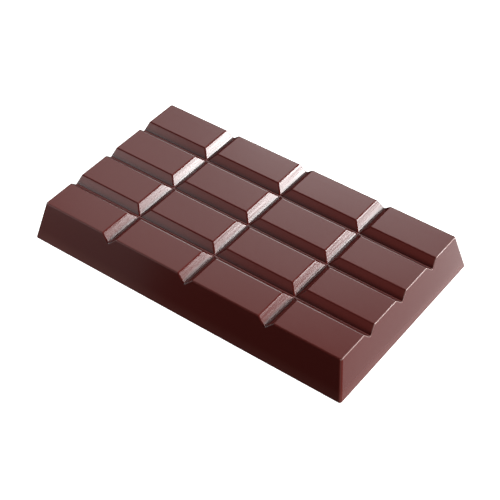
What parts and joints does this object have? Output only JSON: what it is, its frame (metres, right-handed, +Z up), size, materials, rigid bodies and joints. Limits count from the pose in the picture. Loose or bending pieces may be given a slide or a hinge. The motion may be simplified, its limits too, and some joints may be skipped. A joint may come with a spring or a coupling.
{
  "type": "chocolate bar",
  "caption": "Plain chocolate bar with leaning side walls, scored lengthways and crossways by V-shaped grooves into rectangular pieces.",
  "frame": {"origin": "middle of the flat underside", "axes": "+X along the bar's long side, +Y across it, +Z up from the underside to the scored top"},
  "size_m": [0.108, 0.0646, 0.0124],
  "materials": {
    "chocolate": null
  },
  "bodies": {
    "root": {"chocolate_bar": "chocolate"}
  },
  "joints": []
}
